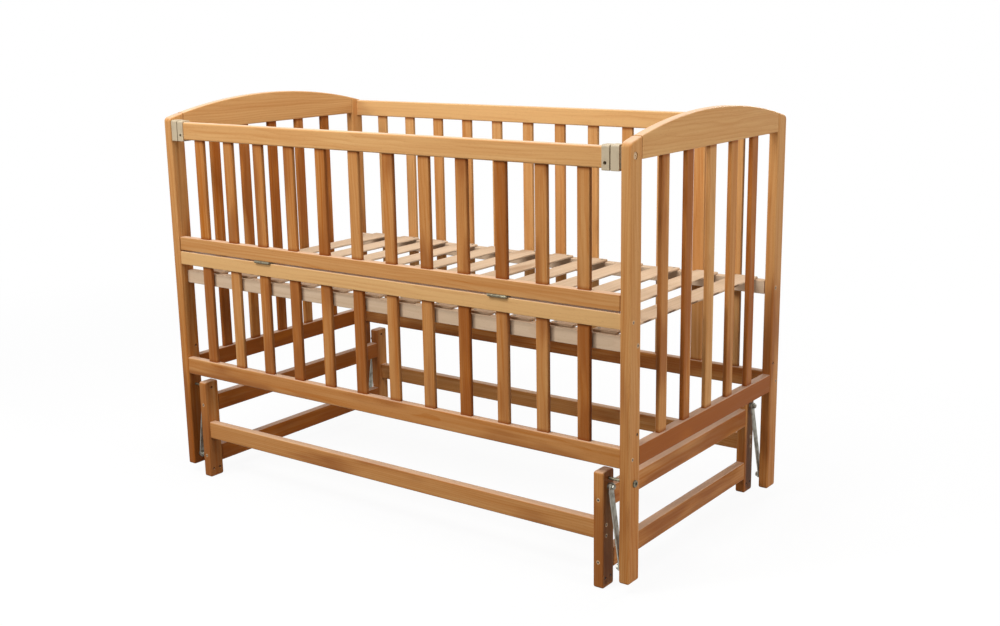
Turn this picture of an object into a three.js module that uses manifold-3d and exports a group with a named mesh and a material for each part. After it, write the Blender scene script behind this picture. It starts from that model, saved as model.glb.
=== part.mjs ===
// A child's crib in beech: a slatted bed with a fold-down front side, which swings on a low stand.
// Millimetres, +Z up, +X along the length, -Y the front. The origin is on the floor, in the middle.
// The bed hangs from the stand on four steel links, so it swings to the front and to the back.

import * as THREE from "three";
import { mergeVertices } from "three/addons/utils/BufferGeometryUtils.js";
import Module from "manifold-3d";

const wasm = await Module();
wasm.setup();

// Driving sizes of the whole crib
const innerLength = 1200; // between the posts of the two ends
const width = 654; // over the front and back faces of the posts
const crownHeight = 900; // top of the arched ends above the floor
const archRise = 40; // from the ends' outer corners up to the crown
const footClearance = 22; // under the posts, which hang clear of the floor

// Clearances
const fit = 0.3; // between pieces that are fixed to each other
const running = 0.4; // round a pin or bolt that something turns or slides on
const sideClearance = 1.5; // between the moving front side and the posts
const overrun = 5; // how far a cutting solid runs past what it cuts

// Posts and the pieces of the two ends
const postThickness = 22; // along X
const postDepth = 40; // along Y
const postRound = 4;
const cornerRound = 9; // at the outer top corners
const endInset = 1; // of the end rails behind the faces of the posts
const archRailDepth = 73; // of the arched rail at its crown
const endSlatCount = 5;
const endSlatSpace = 84; // clear space between a post and the first slat

// Rails and slats of the long sides
const railThickness = 18;
const railInset = 3; // of the rails behind the faces of the posts
const railHeight = 40;
const middleRailHeight = 30; // the two rails that meet at the hinges
const railRound = 3;
const handRailRound = 4; // along the top of the moving rail
const lowRailUnderside = 251;
const handRailDrop = 48.5; // from the crown of the ends down to the top of the moving side
const hingeSpace = 5; // between the two middle rails
const backRailLift = 8.5; // of the back top rail over the moving one
const slatWidth = 28;
const slatThickness = 10;
const slatRound = 2.5;
const slatTenon = 8; // let into each rail
const sideSlatCount = 12;
const sideSlatSpace = 69; // clear space between a post and the first slat

// Bed base
const baseRailThickness = 20;
const baseRailHeight = 30;
const baseRailInset = 19; // of its outer face behind the face of the posts
const baseRailDrop = 16.8; // from the middle rail of the front down to the top of a base rail
const baseSlatWidth = 54;
const baseSlatThickness = 5;
const baseSlatRound = 1.8;
const baseSlatInset = 7; // of a slat's ends behind the outer faces of the rails
const baseSlatCount = 12;
const baseLeftSpace = 57; // clear space between the left posts and the first slat
const baseRightSpace = 22;
const baseBoltRadius = 3;
const baseBoltDepth = 30; // of the bolt's hole in the end of a base rail
const lowBaseBoltHeight = 316; // spare holes for hanging the base lower

// Stand
const linkSpace = 34.5; // between the stand and the posts of the bed
const standPostThickness = 22;
const standPostDepth = 40;
const standPostHeight = 237;
const standRound = 5; // at the corners of an upright, seen from the end of the crib
const standFaceRound = 3; // along the edges of an upright's two broad faces
const standRailHeight = 40;
const standRailThickness = 20;
const standRailInset = 6.4; // of the long rails behind the faces of the uprights
const standRailUnderside = 97.7;
const crossRailHeight = 41;
const crossRailInset = 0.5;
const upperCrossUnderside = 160;
const lowerCrossUnderside = 33;
const spareHoleRadius = 3;
const spareHoleHeight = 20;
const spareHolePitch = 19;

// Links and their pivot bolts
const upperPivotHeight = 206;
const linkLength = 160; // between the two pivots of a link
const linkWidth = 15;
const linkThickness = 3;
const upperStandoff = 5; // between the link and the stand's upright
const lowerStandoff = 6; // between the link and the bed's post
const linkFlat = 12; // straight from the pivot to the bend
const pivotRadius = 3;
const pivotAnchor = 14; // depth of the shank in the wood
const collarRadius = 6;
const washerThickness = 1.2;
const washerRadius = 7;
const hexRadius = 5.5;
const hexHeight = 4.5;

// Lock bolts, which stop the swinging
const lockHeight = 222;
const lockRadius = 3;
const lockShortfall = 1.5; // of the tip before the upright
const lockHeadRadius = 7;
const lockHeadHeight = 3.5;
const lockSocketRadius = 3;
const lockSocketDepth = 2;

// Hinges of the moving side
const hingeOffset = 324; // from the middle of the crib to each hinge
const hingeLength = 45;
const barrelRadius = 3.2;
const hingePinRadius = 1.2;
const knuckleCount = 3;
const leafThickness = 1.2;
const leafDepth = 16;
const hingePinHead = 0.8; // how far the pin shows past the knuckles

// Latches of the moving side
const capInnerOffset = 40; // from the post to the inner end of the cap
const capLength = 17;
const capWall = 3;
const capRound = 4.5; // along the tops of the caps and keepers
const capOverlap = 3.5; // length of rail inside the cap
const latchGap = 2; // between the cap and the keeper
const latchPinRadius = 3;
const latchPinDrop = 9.5; // below the middle of the rail
const latchPinTail = 8.5; // length inside the rail
const latchTravel = 6;
const latchSocketDepth = 8;
const latchHoleRadius = 3.4; // the round hole in the front of the cap
const latchHoleInset = 7.5; // from the cap's inner end to that hole
const tabThickness = 3;
const tabWidth = 4;
const tabReach = 0.6; // below the cap
const keeperSeat = 1; // bare post in front of the keeper's outer face
const keeperNeck = 2.5; // of a slimmer foot between the keeper and the post
const neckInset = 4; // of that foot behind the keeper's faces

// Fineness of the curved faces
const roundSegments = 1;
const archSteps = 24;
const cornerSteps = 4;
const postTopSteps = 1; // a post's own stretch of the arch is nearly straight
const rodSides = 12;
const eyeSteps = 8;
const hexSides = 6;
const bevelSteps = 2;

// Places worked out from the sizes above
const postInnerX = innerLength / 2;
const postCentreX = postInnerX + postThickness / 2;
const halfWidth = width / 2;
const postInnerY = halfWidth - postDepth;
const postCentreY = halfWidth - postDepth / 2;
const railCentreY = halfWidth - railInset - railThickness / 2;
const endRailThickness = postThickness - 2 * endInset;
const railLength = innerLength - 2 * fit;
const archUnderside = crownHeight - archRailDepth;
const dropTop = crownHeight - handRailDrop;
const frontHeight = dropTop - lowRailUnderside;
const frontOpening = (frontHeight - hingeSpace) / 2 - railHeight - middleRailHeight;
const lowerPanelTop = lowRailUnderside + railHeight + frontOpening + middleRailHeight;
const dropUnderside = lowerPanelTop + hingeSpace;
const backOpening = dropTop + backRailLift - lowRailUnderside - 2 * railHeight;
const baseCentreY = halfWidth - baseRailInset - baseRailThickness / 2;
const baseRailUnderside = lowerPanelTop - middleRailHeight - baseRailDrop - baseRailHeight;
const baseBoltHeight = baseRailUnderside + baseRailHeight / 2;
const baseSlatLength = 2 * (halfWidth - baseRailInset - baseSlatInset);
const baseSlatRun = innerLength - baseLeftSpace - baseRightSpace;
const baseSlatShift = (baseLeftSpace - baseRightSpace) / 2;
const standOuterX = postInnerX - linkSpace;
const standCentreX = standOuterX - standPostThickness / 2;
const standInnerX = standOuterX - standPostThickness;
const standPostCentreY = halfWidth - standPostDepth / 2;
const standPostInnerY = halfWidth - standPostDepth;
const lowerPivotHeight = upperPivotHeight - linkLength;
const hingeCentreY = halfWidth - railInset + barrelRadius + fit;
const hingeCentreZ = lowerPanelTop + hingeSpace / 2;
const capInnerX = postInnerX - capInnerOffset;
const capOuterX = capInnerX + capLength;
const capDepth = railThickness + 2 * (capWall + fit);
const capHeight = railHeight + 2 * (capWall + fit);
const handRailCentreZ = dropTop - railHeight / 2;
const latchPinZ = handRailCentreZ - latchPinDrop;
const handRailHalf = capInnerX + capOverlap;

// Materials, a new one for each mesh
const beech = () => new THREE.MeshStandardMaterial({ color: 0xcd9a62, roughness: 0.55, metalness: 0 });
const rawBeech = () => new THREE.MeshStandardMaterial({ color: 0xe0bf96, roughness: 0.75, metalness: 0 });
const steel = () => new THREE.MeshStandardMaterial({ color: 0x9c988c, roughness: 0.35, metalness: 1 });
const plastic = () => new THREE.MeshStandardMaterial({ color: 0xbdb496, roughness: 0.45, metalness: 0 });

// Turns a shape that was extruded along Z so that it runs along the named axis
const runs = {
  x: new THREE.Matrix4().set(0, 0, 1, 0, 1, 0, 0, 0, 0, 1, 0, 0, 0, 0, 0, 1),
  y: new THREE.Matrix4().set(0, 1, 0, 0, 0, 0, 1, 0, 1, 0, 0, 0, 0, 0, 0, 1),
  z: new THREE.Matrix4(),
};

// A rectangle round the origin with rounded corners, of one radius below and one above
function roundedSection(across, up, lowRound, highRound = lowRound) {
  const right = across / 2;
  const top = up / 2;
  const section = new THREE.Shape();
  section.absarc(right - highRound, top - highRound, highRound, 0, Math.PI / 2);
  section.absarc(highRound - right, top - highRound, highRound, Math.PI / 2, Math.PI);
  section.absarc(lowRound - right, lowRound - top, lowRound, Math.PI, 1.5 * Math.PI);
  section.absarc(right - lowRound, lowRound - top, lowRound, 1.5 * Math.PI, 2 * Math.PI);
  return section;
}

// A straight piece of the given section, with its middle at a place
function extrusion(axis, section, length, place = [0, 0, 0]) {
  const options = { depth: length, bevelEnabled: false, curveSegments: roundSegments };
  const geometry = new THREE.ExtrudeGeometry(section, options);
  geometry.translate(0, 0, -length / 2);
  geometry.applyMatrix4(runs[axis]);
  return geometry.translate(...place);
}

// Boards that run along each axis; a size is [X, Y, Z]
function boardX([x, y, z], round, place, highRound) {
  return extrusion("x", roundedSection(y, z, round, highRound), x, place);
}

function boardY([x, y, z], round, place) {
  return extrusion("y", roundedSection(z, x, round), y, place);
}

function boardZ([x, y, z], round, place) {
  return extrusion("z", roundedSection(x, y, round), z, place);
}

// The points of an arc, both ends included
function arcPoints(centreX, centreY, radius, from, to, steps) {
  return Array.from({ length: steps + 1 }, (_, i) => {
    const turn = from + ((to - from) * i) / steps;
    return new THREE.Vector2(centreX + radius * Math.cos(turn), centreY + radius * Math.sin(turn));
  });
}

// A flat piece of any outline in the YZ plane, with its edges rounded, in the middle of its thickness
function plank(outline, thickness, round) {
  const options = {
    depth: thickness - 2 * round,
    bevelThickness: round,
    bevelSize: round,
    bevelOffset: -round,
    bevelSegments: bevelSteps,
    curveSegments: roundSegments,
  };
  const geometry = new THREE.ExtrudeGeometry(outline, options);
  geometry.translate(0, 0, round - thickness / 2);
  return geometry.applyMatrix4(runs.x);
}

function block([x, y, z], place) {
  return new THREE.BoxGeometry(x, y, z).translate(...place);
}

// A round or six-sided bar along X or Y, with its middle at a place
function bar(axis, radius, length, place, sides = rodSides) {
  const geometry = new THREE.CylinderGeometry(radius, radius, length, sides);
  if (axis === "x") geometry.rotateZ(-Math.PI / 2);
  return geometry.translate(...place);
}

// A turned piece along X, from a list of [X, radius] steps that starts and ends on its axis
function turned(steps) {
  const profile = steps.map(([x, radius]) => new THREE.Vector2(radius, x));
  return new THREE.LatheGeometry(profile, rodSides).rotateZ(-Math.PI / 2);
}

function solidOf(geometry) {
  geometry.deleteAttribute("normal");
  geometry.deleteAttribute("uv");
  const merged = mergeVertices(geometry);
  const triVerts = new Uint32Array(merged.index.array);
  const vertProperties = merged.attributes.position.array;
  return new wasm.Manifold(new wasm.Mesh({ numProp: 3, vertProperties, triVerts }));
}

function geometryOf(solid) {
  const data = solid.getMesh();
  const geometry = new THREE.BufferGeometry();
  geometry.setAttribute("position", new THREE.BufferAttribute(data.vertProperties, 3));
  geometry.setIndex(new THREE.BufferAttribute(data.triVerts, 1));
  const flat = geometry.toNonIndexed();
  flat.computeVertexNormals();
  return flat;
}

function joined(...pieces) {
  return geometryOf(pieces.map(solidOf).reduce((whole, piece) => whole.add(piece)));
}

function cut(piece, ...tools) {
  return geometryOf(tools.map(solidOf).reduce((whole, tool) => whole.subtract(tool), solidOf(piece)));
}

function shared(piece, other) {
  return geometryOf(solidOf(piece).intersect(solidOf(other)));
}

function mesh(name, geometry, material, place = [0, 0, 0]) {
  const made = new THREE.Mesh(geometry, material);
  made.name = name;
  made.position.set(...place);
  return made;
}

// The middles of equally spaced slats that leave a clear space at both ends of a length
function slatPlaces(count, length, slat, space) {
  const reach = (length - slat) / 2 - space;
  return Array.from({ length: count }, (_, i) => reach * ((2 * i) / (count - 1) - 1));
}

// The arch is one arc over the whole width, with a small arc into each outer face
function archCurve() {
  const radius = (halfWidth ** 2 + archRise ** 2) / (2 * archRise);
  const centreZ = crownHeight - radius;
  const cornerY = halfWidth - cornerRound;
  const cornerZ = centreZ + Math.sqrt((radius - cornerRound) ** 2 - cornerY ** 2);
  const cornerTurn = Math.atan2(cornerZ - centreZ, cornerY);
  return { radius, centreZ, cornerY, cornerZ, cornerTurn };
}

// A back post's outline in the YZ plane, from its foot to the arch; a front post mirrors it
function postOutline() {
  const arch = archCurve();
  const innerTurn = Math.acos(postInnerY / arch.radius);
  const corner = arcPoints(arch.cornerY, arch.cornerZ, cornerRound, 0, arch.cornerTurn, cornerSteps);
  const top = arcPoints(0, arch.centreZ, arch.radius, arch.cornerTurn, innerTurn, postTopSteps).slice(1);
  const foot = [postInnerY, halfWidth].map((y) => new THREE.Vector2(y, footClearance));
  return new THREE.Shape([...foot, ...corner, ...top]);
}

// A round tool that goes right through a post, along X
function postHole(radius, y, z) {
  return bar("x", radius, postThickness + overrun, [0, y, z]);
}

// One post of an end: side is -1 at the left, row is -1 at the front
function post(side, row) {
  const blank = plank(postOutline(), postThickness, postRound);
  if (row < 0) blank.rotateZ(Math.PI);
  const pivotDepth = pivotAnchor + 2 * fit;
  const pivotX = side * (pivotDepth / 2 - postThickness / 2 - overrun / 2);
  const holes = [
    postHole(baseBoltRadius + fit, row * baseCentreY, baseBoltHeight),
    postHole(baseBoltRadius + fit, row * baseCentreY, lowBaseBoltHeight),
    bar("x", pivotRadius + fit, pivotDepth + overrun, [pivotX, row * postCentreY, lowerPivotHeight]),
  ];
  if (row < 0) holes.push(postHole(lockRadius + running, row * postCentreY, lockHeight));
  return cut(blank, ...holes);
}

// The arched top rail, cut square where it meets the posts
function archRail() {
  const arch = archCurve();
  const turn = Math.acos(halfWidth / arch.radius);
  const underside = [-halfWidth, halfWidth].map((y) => new THREE.Vector2(y, archUnderside));
  const top = arcPoints(0, arch.centreZ, arch.radius, turn, Math.PI - turn, archSteps);
  const outline = new THREE.Shape([...underside, ...top]);
  const span = 2 * (postInnerY - fit);
  const height = crownHeight - archUnderside + overrun;
  const between = block([postThickness, span, 2 * height], [0, 0, archUnderside + height / 2]);
  return shared(plank(outline, endRailThickness, railRound), between);
}

// The slatted panel of an end: the arched rail, a straight low rail and the slats between them
function endPanel() {
  const span = 2 * (postInnerY - fit);
  const lowSize = [endRailThickness, span, railHeight];
  const lowRail = boardY(lowSize, railRound, [0, 0, lowRailUnderside + railHeight / 2]);
  const bottom = lowRailUnderside + railHeight - slatTenon;
  const top = archUnderside + slatTenon;
  const slatSize = [slatThickness, slatWidth, top - bottom];
  const slats = slatPlaces(endSlatCount, 2 * postInnerY, slatWidth, endSlatSpace).map((y) =>
    boardZ(slatSize, slatRound, [0, y, (top + bottom) / 2]),
  );
  return joined(archRail(), lowRail, ...slats);
}

function end(side) {
  const label = side < 0 ? "left" : "right";
  const group = new THREE.Group();
  group.position.x = side * postCentreX;
  group.add(mesh(label + "_front_post", post(side, -1), beech()));
  group.add(mesh(label + "_back_post", post(side, 1), beech()));
  group.add(mesh(label + "_end_panel", endPanel(), beech()));
  return group;
}

// The slats of a long side, between two rails that leave the given opening
function sideSlats(underside, opening) {
  const size = [slatWidth, slatThickness, opening + 2 * slatTenon];
  return slatPlaces(sideSlatCount, innerLength, slatWidth, sideSlatSpace).map((x) =>
    boardZ(size, slatRound, [x, 0, underside + opening / 2]),
  );
}

function straightRail(length, height, underside, highRound = railRound) {
  return boardX([length, railThickness, height], railRound, [0, 0, underside + height / 2], highRound);
}

function backPanel() {
  const slatFoot = lowRailUnderside + railHeight;
  return joined(
    straightRail(railLength, railHeight, lowRailUnderside),
    straightRail(railLength, railHeight, slatFoot + backOpening),
    ...sideSlats(slatFoot, backOpening),
  );
}

function lowerFrontPanel() {
  const slatFoot = lowRailUnderside + railHeight;
  return joined(
    straightRail(railLength, railHeight, lowRailUnderside),
    straightRail(railLength, middleRailHeight, slatFoot + frontOpening),
    ...sideSlats(slatFoot, frontOpening),
  );
}

// The moving upper half of the front, with a bore for a latch pin in each end of its hand rail
function dropPanel() {
  const slatFoot = dropUnderside + middleRailHeight;
  const wood = joined(
    straightRail(innerLength - 2 * sideClearance, middleRailHeight, dropUnderside),
    straightRail(2 * handRailHalf, railHeight, slatFoot + frontOpening, handRailRound),
    ...sideSlats(slatFoot, frontOpening),
  );
  const boreDepth = latchPinTail + fit;
  const bores = [-1, 1].map((side) => {
    const boreX = side * (handRailHalf + (overrun - boreDepth) / 2);
    return bar("x", latchPinRadius + running, boreDepth + overrun, [boreX, 0, latchPinZ]);
  });
  return cut(wood, ...bores);
}

function longSides() {
  const group = new THREE.Group();
  group.add(mesh("back_panel", backPanel(), beech(), [0, railCentreY, 0]));
  group.add(mesh("lower_front_panel", lowerFrontPanel(), beech(), [0, -railCentreY, 0]));
  group.add(mesh("drop_side_panel", dropPanel(), beech(), [0, -railCentreY, 0]));
  return group;
}

// The bed base: two raw rails and the slats that lie across them
function bedBase() {
  const group = new THREE.Group();
  const railSize = [railLength, baseRailThickness, baseRailHeight];
  const boltX = (railLength + overrun - baseBoltDepth) / 2;
  const boltReach = baseBoltDepth + overrun;
  const boltHoles = [-1, 1].map((side) => bar("x", baseBoltRadius, boltReach, [side * boltX, 0, 0]));
  for (const [label, row] of Object.entries({ front: -1, back: 1 })) {
    const rail = cut(boardX(railSize, baseSlatRound), ...boltHoles);
    group.add(mesh("base_rail_" + label, rail, rawBeech(), [0, row * baseCentreY, baseBoltHeight]));
  }
  const slatSize = [baseSlatWidth, baseSlatLength, baseSlatThickness];
  const slatZ = baseRailUnderside + baseRailHeight + fit + baseSlatThickness / 2;
  slatPlaces(baseSlatCount, baseSlatRun, baseSlatWidth, 0).forEach((x, i) => {
    const name = "base_slat_" + String(i + 1).padStart(2, "0");
    group.add(mesh(name, boardY(slatSize, baseSlatRound), rawBeech(), [x + baseSlatShift, 0, slatZ]));
  });
  return group;
}

// An upright of the stand, with the pivot hole, the lock hole and two spare holes at its foot
function standUpright(side, row) {
  const outline = roundedSection(standPostDepth, standPostHeight, standRound);
  const blank = plank(outline, standPostThickness, standFaceRound);
  const middle = standPostHeight / 2;
  const pivotDepth = pivotAnchor + 2 * fit;
  const pivotX = side * (standPostThickness / 2 + (overrun - pivotDepth) / 2);
  const through = standPostThickness + overrun;
  const holes = [
    bar("x", pivotRadius + fit, pivotDepth + overrun, [pivotX, 0, upperPivotHeight - middle]),
    bar("x", lockRadius + running, through, [0, 0, lockHeight - middle]),
    bar("x", spareHoleRadius, through, [0, -spareHolePitch / 2, spareHoleHeight - middle]),
    bar("x", spareHoleRadius, through, [0, spareHolePitch / 2, spareHoleHeight - middle]),
  ];
  return mesh(
    "stand_" + cornerName(side, row) + "_upright",
    cut(blank, ...holes),
    beech(),
    [side * standCentreX, row * standPostCentreY, middle],
  );
}

function cornerName(side, row) {
  return (row < 0 ? "front" : "back") + "_" + (side < 0 ? "left" : "right");
}

function standLongRail(row) {
  const size = [2 * (standInnerX - fit), standRailThickness, standRailHeight];
  const y = row * (halfWidth - standRailInset - standRailThickness / 2);
  const place = [0, y, standRailUnderside + standRailHeight / 2];
  return mesh(row < 0 ? "stand_front_rail" : "stand_back_rail", boardX(size, railRound), beech(), place);
}

function standCrossRail(side, label, underside) {
  const size = [standPostThickness - 2 * crossRailInset, 2 * (standPostInnerY - fit), crossRailHeight];
  const name = "stand_" + (side < 0 ? "left_" : "right_") + label + "_cross_rail";
  const place = [side * standCentreX, 0, underside + crossRailHeight / 2];
  return mesh(name, boardY(size, railRound), beech(), place);
}

function stand() {
  const group = new THREE.Group();
  for (const row of [-1, 1]) group.add(standLongRail(row));
  for (const side of [-1, 1]) {
    for (const row of [-1, 1]) group.add(standUpright(side, row));
    group.add(standCrossRail(side, "upper", upperCrossUnderside));
    group.add(standCrossRail(side, "lower", lowerCrossUnderside));
  }
  return group;
}

// A bolt for a link: its shank sits in wood on the -X side of the origin, its head is on the +X side,
// and a collar on it keeps the link off the wood
function pivotBolt(standoff) {
  const collarEnd = standoff - fit;
  const washerStart = standoff + linkThickness + fit;
  const washerEnd = washerStart + washerThickness;
  const shank = turned([
    [-pivotAnchor, 0],
    [-pivotAnchor, pivotRadius],
    [fit, pivotRadius],
    [fit, collarRadius],
    [collarEnd, collarRadius],
    [collarEnd, pivotRadius],
    [washerStart, pivotRadius],
    [washerStart, washerRadius],
    [washerEnd, washerRadius],
    [washerEnd, 0],
  ]);
  const headMiddle = washerEnd + (hexHeight - washerThickness) / 2;
  const head = bar("x", hexRadius, hexHeight + washerThickness, [headMiddle, 0, 0], hexSides);
  return joined(shank, head);
}

// A strap bent twice, so that its top lies by the stand and its foot by the bed's post.
// The origin is on the stand's face at the upper pivot, and the lower pivot is below it.
function link() {
  const nearStand = upperStandoff;
  const nearBed = linkSpace - lowerStandoff - linkThickness;
  const reach = linkWidth / 2;
  const upperBend = -linkFlat;
  const lowerBend = linkFlat - linkLength;
  const slant = Math.atan2(nearBed - nearStand, upperBend - lowerBend);
  const bendShift = linkThickness * Math.tan(slant / 2);
  const strap = new THREE.Shape();
  strap.moveTo(reach, nearStand);
  strap.lineTo(upperBend, nearStand);
  strap.lineTo(lowerBend + bendShift, nearBed);
  strap.lineTo(-linkLength - reach, nearBed);
  strap.lineTo(-linkLength - reach, nearBed + linkThickness);
  strap.lineTo(lowerBend, nearBed + linkThickness);
  strap.lineTo(upperBend + bendShift, nearStand + linkThickness);
  strap.lineTo(reach, nearStand + linkThickness);
  const upperEnd = arcPoints(0, 0, reach, 0, Math.PI, eyeSteps);
  const lowerEnd = arcPoints(0, -linkLength, reach, Math.PI, 2 * Math.PI, eyeSteps);
  const face = new THREE.Shape([...upperEnd, ...lowerEnd]);
  const rounded = extrusion("x", face, 2 * linkSpace, [linkSpace, 0, 0]);
  const blank = shared(extrusion("y", strap, linkWidth), rounded);
  const eye = pivotRadius + running;
  const eyes = [0, -linkLength].map((z) => bar("x", eye, 2 * linkSpace, [linkSpace / 2, 0, z]));
  return cut(blank, ...eyes);
}

// Each corner's link, with its upper bolt in the stand and its lower bolt in the bed's post
function linkage(side, row) {
  const corner = cornerName(side, row);
  const turn = side < 0 ? Math.PI : 0;
  const upperPlace = [side * standOuterX, row * postCentreY, upperPivotHeight];
  const lowerPlace = [side * postInnerX, row * postCentreY, lowerPivotHeight];
  const strap = mesh("link_" + corner, link(), steel(), upperPlace);
  strap.rotation.z = turn;
  const upper = mesh("upper_pivot_bolt_" + corner, pivotBolt(upperStandoff), steel(), upperPlace);
  upper.rotation.z = turn;
  const lower = mesh("lower_pivot_bolt_" + corner, pivotBolt(lowerStandoff), steel(), lowerPlace);
  lower.rotation.z = Math.PI - turn;
  return [strap, upper, lower];
}

// A bolt through a front post; driven on into the stand's hole it would stop the swinging
function lockBolt(side) {
  const headStart = postThickness + fit;
  const headEnd = headStart + lockHeadHeight;
  const tip = lockShortfall - linkSpace;
  const bolt = turned([
    [tip, 0],
    [tip, lockRadius],
    [headStart, lockRadius],
    [headStart, lockHeadRadius],
    [headEnd, lockHeadRadius],
    [headEnd, lockSocketRadius],
    [headEnd - lockSocketDepth, lockSocketRadius],
    [headEnd - lockSocketDepth, 0],
  ]);
  const name = side < 0 ? "lock_bolt_left" : "lock_bolt_right";
  const made = mesh(name, bolt, steel(), [side * postInnerX, -postCentreY, lockHeight]);
  made.rotation.z = side < 0 ? Math.PI : 0;
  return made;
}

// A hinge leaf with some of the knuckles: the origin is on the pin, and the leaf runs to +Y above it
function hingeLeaf(hasMiddle) {
  const knuckle = hingeLength / knuckleCount;
  const leafZ = hingeSpace / 2 - fit - leafThickness / 2;
  const frontEdge = barrelRadius + fit;
  const backEdge = frontEdge + leafDepth;
  const plate = block([hingeLength, leafDepth, leafThickness], [0, (frontEdge + backEdge) / 2, leafZ]);
  const webFront = hingePinRadius + running;
  const parts = [plate];
  const bores = [];
  for (let i = 0; i < knuckleCount; i += 1) {
    if ((i % 2 === 1) !== hasMiddle) continue;
    const x = (i - (knuckleCount - 1) / 2) * knuckle;
    parts.push(bar("x", barrelRadius, knuckle - fit, [x, 0, 0]));
    const webDepth = frontEdge + fit - webFront;
    parts.push(block([knuckle - fit, webDepth, leafThickness], [x, webFront + webDepth / 2, leafZ]));
    bores.push(bar("x", hingePinRadius + running, knuckle + overrun, [x, 0, 0]));
  }
  return cut(joined(...parts), ...bores);
}

function hinge(side) {
  const label = side < 0 ? "left" : "right";
  const group = new THREE.Group();
  group.position.set(side * hingeOffset, -hingeCentreY, hingeCentreZ);
  group.add(mesh("hinge_" + label + "_upper_leaf", hingeLeaf(true), steel()));
  const lower = hingeLeaf(false).rotateX(Math.PI).rotateZ(Math.PI);
  group.add(mesh("hinge_" + label + "_lower_leaf", lower, steel()));
  const pin = bar("x", hingePinRadius, hingeLength + 2 * hingePinHead, [0, 0, 0]);
  group.add(mesh("hinge_" + label + "_pin", pin, steel()));
  return group;
}

// The cap on an end of the hand rail: a pocket for the rail, a bore for the pin, the round hole
// in front of the pin, and a slot below for the pin's tab
function latchCap(side) {
  const centreX = side * (capInnerX + capLength / 2);
  const size = [capLength, capDepth, capHeight];
  const blank = boardX(size, capWall, [centreX, 0, handRailCentreZ], capRound);
  const pocketSize = [capOverlap + fit + overrun, railThickness + 2 * fit, railHeight + 2 * fit];
  const pocketX = side * (handRailHalf + fit - pocketSize[0] / 2);
  const pocket = boardX(pocketSize, railRound, [pocketX, 0, handRailCentreZ], handRailRound);
  const bore = bar("x", latchPinRadius + running, 2 * capLength, [centreX, 0, latchPinZ]);
  const holeX = side * (capInnerX + latchHoleInset);
  const hole = bar("y", latchHoleRadius, capDepth, [holeX, -capDepth / 2, latchPinZ]);
  const slotSize = [tabThickness + latchTravel + 2 * running, tabWidth + 2 * running, capHeight / 2];
  const slotX = holeX + (side * latchTravel) / 2;
  const slot = block(slotSize, [slotX, 0, latchPinZ - slotSize[2] / 2]);
  return cut(blank, pocket, bore, hole, slot);
}

// The pin that slides out of the cap into the keeper, with a tab below to push it by
function latchPin(side) {
  const start = handRailHalf - latchPinTail;
  const tip = capOuterX - fit;
  const shank = bar("x", latchPinRadius, tip - start, [(side * (start + tip)) / 2, 0, latchPinZ]);
  const tabFoot = handRailCentreZ - capHeight / 2 - tabReach;
  const tabSize = [tabThickness, tabWidth, latchPinZ - tabFoot];
  const tabX = side * (capInnerX + latchHoleInset);
  const tab = block(tabSize, [tabX, 0, (latchPinZ + tabFoot) / 2]);
  return joined(shank, tab);
}

// The keeper on the post, with a socket for the pin
function latchKeeper(side) {
  const inner = capOuterX + latchGap;
  const outer = postInnerX - fit - keeperNeck;
  const size = [outer - inner, capDepth, capHeight + keeperSeat];
  const place = [(side * (inner + outer)) / 2, 0, handRailCentreZ + keeperSeat / 2];
  const body = boardX(size, capWall, place, capRound);
  const neckSize = [2 * keeperNeck, size[1] - 2 * neckInset, size[2] - 2 * neckInset];
  const neck = boardX(neckSize, capWall, [side * outer, 0, place[2]]);
  const blank = joined(body, neck);
  const depth = latchSocketDepth + overrun;
  const socketX = side * (inner + (latchSocketDepth - overrun) / 2);
  return cut(blank, bar("x", latchPinRadius + running, depth, [socketX, 0, latchPinZ]));
}

function latch(side) {
  const label = side < 0 ? "left" : "right";
  const group = new THREE.Group();
  group.position.y = -railCentreY;
  group.add(mesh("latch_cap_" + label, latchCap(side), plastic()));
  group.add(mesh("latch_pin_" + label, latchPin(side), steel()));
  group.add(mesh("latch_keeper_" + label, latchKeeper(side), plastic()));
  return group;
}

function crib() {
  const group = new THREE.Group();
  group.name = "crib";
  group.add(stand(), longSides(), bedBase());
  for (const side of [-1, 1]) {
    for (const row of [-1, 1]) group.add(...linkage(side, row));
    group.add(end(side), lockBolt(side), hinge(side), latch(side));
  }
  const frontReach = hingeCentreY + barrelRadius;
  group.position.y = (frontReach - halfWidth) / 2;
  return group;
}

export default crib();
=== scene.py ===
# %% [markdown]
# # A beech crib, dressed around its engineering model
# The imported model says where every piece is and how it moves. Here each piece gets the look of
# the real one: planed and sanded boards with rounded edges, grain that runs along each board,
# zinc-plated steel and a little moulded plastic. Everything is in metres, +X along the crib,
# -Y its front, +Z up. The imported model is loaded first, because every piece rides on its bodies.

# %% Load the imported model
import math
import random

import bmesh
import bpy
from mathutils import Matrix, Vector


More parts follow.
